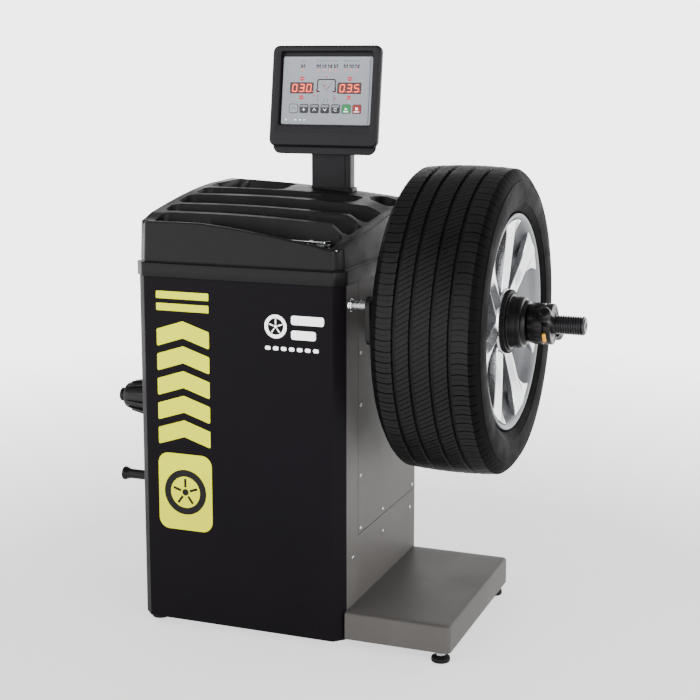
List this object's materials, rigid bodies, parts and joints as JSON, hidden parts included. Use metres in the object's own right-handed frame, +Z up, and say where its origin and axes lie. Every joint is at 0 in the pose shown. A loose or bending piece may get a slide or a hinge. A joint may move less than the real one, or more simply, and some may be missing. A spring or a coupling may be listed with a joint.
{
  "type": "wheel balancer machine",
  "caption": "Car wheel balancing machine: cabinet with weight tray, belt-driven spindle with a clamped wheel, display on a mast and side platform.",
  "frame": {"origin": "on the floor, under the middle of the machine's overall length and width; the spindle axis crosses above it", "axes": "+X along the spindle, out through the wheel; +Y from the front cover to the rear panel; +Z up"},
  "size_m": [1.033, 0.6564, 1.2691],
  "materials": {
    "cover_black": "satin black powder coat",
    "panel_grey": "metallic grey paint",
    "tray_plastic": "fine grained dark grey",
    "pod_plastic": "fine grained dark grey",
    "black_plastic": "satin black",
    "keypad_sheet": "matte printed foil",
    "led_red": "red display window",
    "key_clear": "domed foil, outlined",
    "key_grey": "domed foil",
    "key_green": "domed foil",
    "key_brown": "domed foil",
    "ground_steel": "turned and ground",
    "black_steel": "blackened, turned",
    "sheet_steel": "bare pressed sheet",
    "cast_iron": "painted casting",
    "alloy_silver": "silver lacquered casting",
    "tyre_rubber": "matt moulded rubber",
    "black_rubber": "matt",
    "yellow_plastic": "moulded, glossy",
    "bright_chrome": "polished",
    "board_green": "solder resist"
  },
  "bodies": {
    "cabinet": {"front_cover": "cover_black", "right_side_plate": "panel_grey", "right_access_panel": "panel_grey", "left_side_panel": "cover_black", "rear_panel": "cover_black", "floor_pan": "sheet_steel", "chassis_column": "sheet_steel", "head_plate": "sheet_steel", "platform_pan": "panel_grey", "foot_front_left": "black_rubber", "foot_rear_left": "black_rubber", "foot_front_right": "black_rubber", "foot_rear_right": "black_rubber", "spindle_housing": "cast_iron", "bearing_left": "ground_steel", "bearing_right": "ground_steel", "flexure_left": "ground_steel", "flexure_right": "ground_steel", "force_sensor_left": "bright_chrome", "force_sensor_right": "bright_chrome", "motor_body": "cast_iron", "drive_belt": "black_rubber", "power_board": "board_green", "mains_inlet": "black_plastic", "gauge_bush": "bright_chrome", "weight_tray": "tray_plastic", "mast": "pod_plastic", "plier_lower": "bright_chrome", "display_bezel": "pod_plastic", "display_shell": "pod_plastic", "keypad_panel": "keypad_sheet", "led_window_left": "led_red", "led_window_right": "led_red", "peg_upper": "black_plastic", "peg_lower": "black_plastic"},
    "spindle": {"spindle_shaft": "black_steel", "back_flange": "cast_iron", "centring_cone": "ground_steel", "cone_spring": "ground_steel", "spindle_pulley": "cast_iron", "encoder_disc": "sheet_steel", "tyre": "tyre_rubber", "wheel_rim": "alloy_silver"},
    "clamp_cup": {"pressure_cup": "black_plastic"},
    "clamp_nut": {"quick_nut": "black_plastic"},
    "tab_a": {"release_tab_a": "yellow_plastic"},
    "tab_b": {"release_tab_b": "yellow_plastic"},
    "motor_rotor": {"motor_rotor": "ground_steel"},
    "power_rocker": {"power_rocker": "black_plastic"},
    "gauge_rod": {"gauge_rod": "ground_steel"},
    "gauge_arm": {"gauge_arm": "black_plastic"},
    "plier_upper": {"plier_upper": "bright_chrome"},
    "stored_cup": {"stored_cup": "black_plastic"},
    "button_1": {"button_1": "key_clear"},
    "button_2": {"button_2": "key_grey"},
    "button_3": {"button_3": "key_grey"},
    "button_4": {"button_4": "key_grey"},
    "button_5": {"button_5": "key_grey"},
    "button_6": {"button_6": "key_green"},
    "button_7": {"button_7": "key_brown"}
  },
  "joints": [
    {"name": "spindle_spin", "type": "hinge", "parent": "cabinet", "child": "spindle", "pos_m": [0.0665, 0, 0.6876], "axis": [1, 0, 0], "continuous": true},
    {"name": "motor_spin", "type": "hinge", "parent": "cabinet", "child": "motor_rotor", "pos_m": [0.0665, 0, 0.43], "axis": [1, 0, 0], "continuous": true},
    {"name": "clamp_slide", "type": "slide", "parent": "spindle", "child": "clamp_cup", "axis": [1, 0, 0], "range_m": [0, 0.04]},
    {"name": "nut_turn", "type": "hinge", "parent": "clamp_cup", "child": "clamp_nut", "pos_m": [0.0665, 0, 0.6876], "axis": [1, 0, 0], "continuous": true},
    {"name": "tab_a_press", "type": "slide", "parent": "clamp_nut", "child": "tab_a", "axis": [0, -0.8415, -0.5403], "range_m": [0, 0.003], "stiffness_N_per_m": 400},
    {"name": "tab_b_press", "type": "slide", "parent": "clamp_nut", "child": "tab_b", "axis": [0, 0.8415, 0.5403], "range_m": [0, 0.003], "stiffness_N_per_m": 400},
    {"name": "gauge_slide", "type": "slide", "parent": "cabinet", "child": "gauge_rod", "axis": [1, 0, 0], "range_m": [-0.03, 0.02]},
    {"name": "gauge_swing", "type": "hinge", "parent": "gauge_rod", "child": "gauge_arm", "pos_m": [0.0665, -0.2043, 0.738], "axis": [1, 0, 0], "range_deg": [-110, 110]},
    {"name": "button_1_press", "type": "slide", "parent": "cabinet", "child": "button_1", "axis": [0, 0.9898, -0.1426], "range_m": [0, 0.0008], "stiffness_N_per_m": 400},
    {"name": "button_2_press", "type": "slide", "parent": "cabinet", "child": "button_2", "axis": [0, 0.9898, -0.1426], "range_m": [0, 0.0008], "stiffness_N_per_m": 400},
    {"name": "button_3_press", "type": "slide", "parent": "cabinet", "child": "button_3", "axis": [0, 0.9898, -0.1426], "range_m": [0, 0.0008], "stiffness_N_per_m": 400},
    {"name": "button_4_press", "type": "slide", "parent": "cabinet", "child": "button_4", "axis": [0, 0.9898, -0.1426], "range_m": [0, 0.0008], "stiffness_N_per_m": 400},
    {"name": "button_5_press", "type": "slide", "parent": "cabinet", "child": "button_5", "axis": [0, 0.9898, -0.1426], "range_m": [0, 0.0008], "stiffness_N_per_m": 400},
    {"name": "button_6_press", "type": "slide", "parent": "cabinet", "child": "button_6", "axis": [0, 0.9898, -0.1426], "range_m": [0, 0.0008], "stiffness_N_per_m": 400},
    {"name": "button_7_press", "type": "slide", "parent": "cabinet", "child": "button_7", "axis": [0, 0.9898, -0.1426], "range_m": [0, 0.0008], "stiffness_N_per_m": 400},
    {"name": "rocker_tilt", "type": "hinge", "parent": "cabinet", "child": "power_rocker", "pos_m": [-0.0535, 0.2264, 0.186], "axis": [1, 0, 0], "range_deg": [0, 16]},
    {"name": "plier_open", "type": "hinge", "parent": "cabinet", "child": "plier_upper", "pos_m": [-0.0255, -0.1843, 0.862], "axis": [0, 0, 1], "range_deg": [0, 10]},
    {"name": "stored_cup_lift", "type": "slide", "parent": "cabinet", "child": "stored_cup", "axis": [-1, 0, 0], "range_m": [0, 0.1]}
  ],
  "couplings": [
    {"joint": "motor_spin", "follows": "spindle_spin", "ratio": 3}
  ]
}
